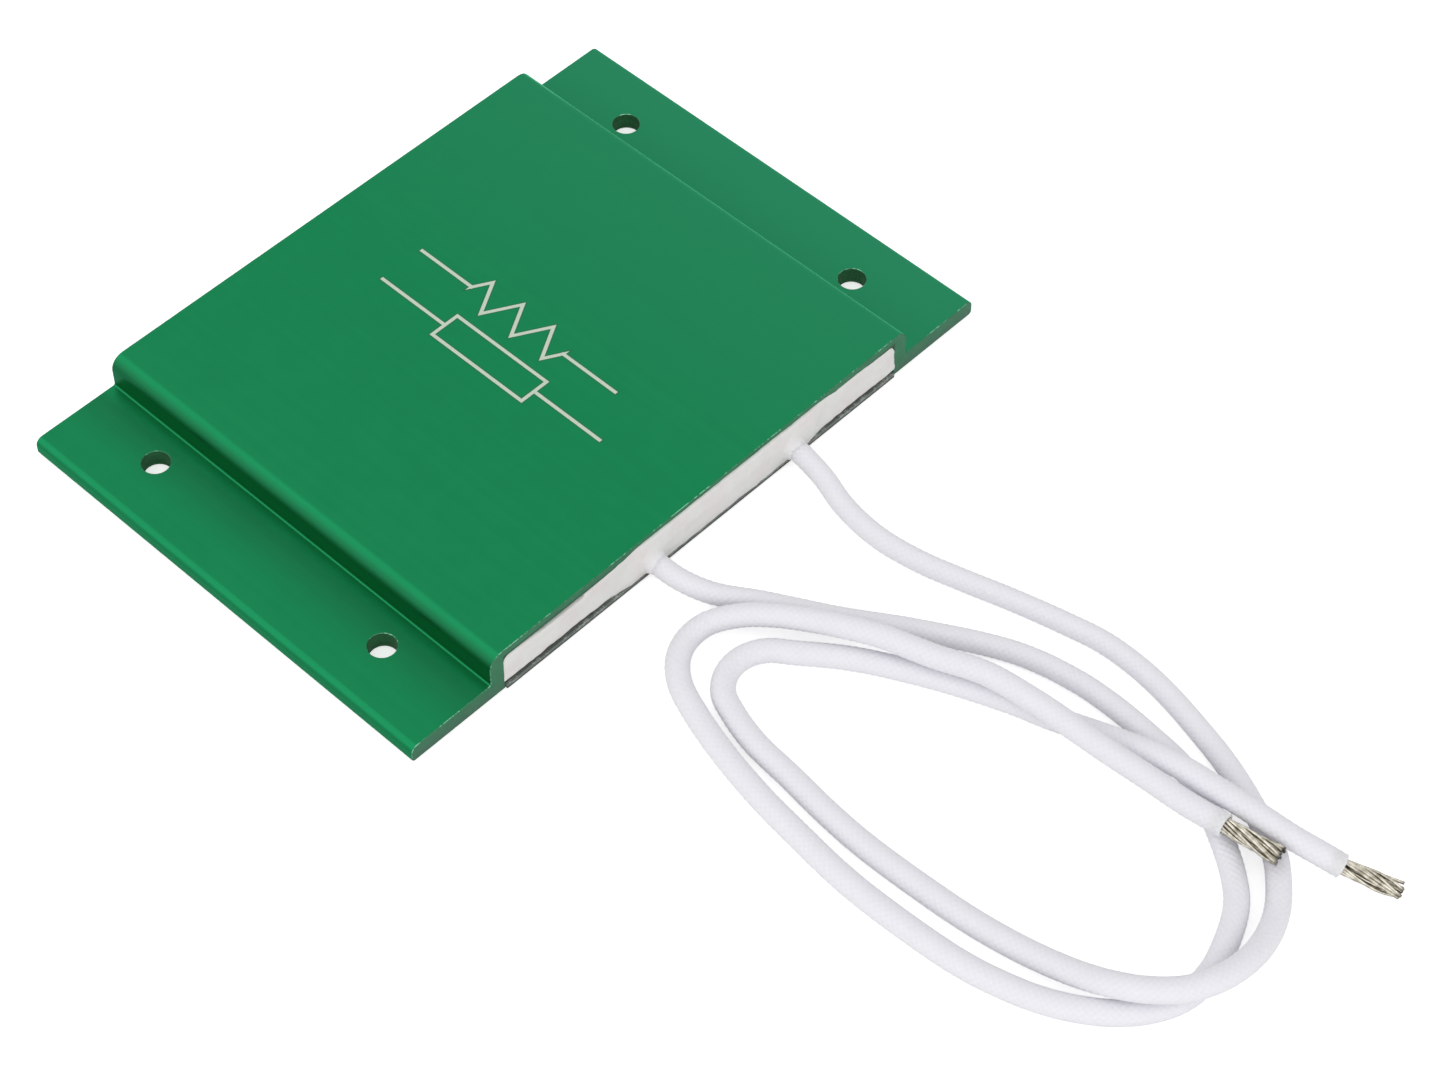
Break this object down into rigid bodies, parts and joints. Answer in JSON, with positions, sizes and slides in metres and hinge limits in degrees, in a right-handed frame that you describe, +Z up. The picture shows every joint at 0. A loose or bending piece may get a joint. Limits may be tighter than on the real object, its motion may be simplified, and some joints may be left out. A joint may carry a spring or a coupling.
{
  "type": "flat chassis mount power resistor with leads",
  "caption": "Flat power resistor in a green anodised aluminium hat-section housing with mounting flanges, potted ends and two flexible insulated leads.",
  "frame": {"origin": "middle of the underside, between the four mounting holes", "axes": "+X across the flanges, +Y along the extrusion away from the lead end, +Z up from the mounting face"},
  "size_m": [0.086, 0.143, 0.0062],
  "materials": {
    "green_anodised": "green anodised, satin, with fine extrusion lines",
    "base_metal": "plain, satin",
    "potting": "white cement, matt and a little rough",
    "mica": "layered sheet, satin",
    "former": "stiff insulating card, matt",
    "resistance_wire": "drawn wire",
    "tinned_metal": "tinned, satin",
    "tinned_strands": "tinned strands, bright",
    "lead_sleeve": "white high temperature insulation, matt"
  },
  "bodies": {
    "root": {"base_plate": "base_metal", "former_card": "former", "front_potting": "potting", "housing": "green_anodised", "left_conductor": "tinned_strands", "left_crimp": "tinned_metal", "left_lead": "lead_sleeve", "left_lead_tail": "lead_sleeve", "left_strands": "tinned_strands", "left_terminal_strap": "tinned_metal", "lower_mica_sheet": "mica", "rear_potting": "potting", "resistance_winding": "resistance_wire", "right_conductor": "tinned_strands", "right_crimp": "tinned_metal", "right_lead": "lead_sleeve", "right_lead_tail": "lead_sleeve", "right_strands": "tinned_strands", "right_terminal_strap": "tinned_metal", "upper_mica_sheet": "mica"}
  },
  "joints": []
}
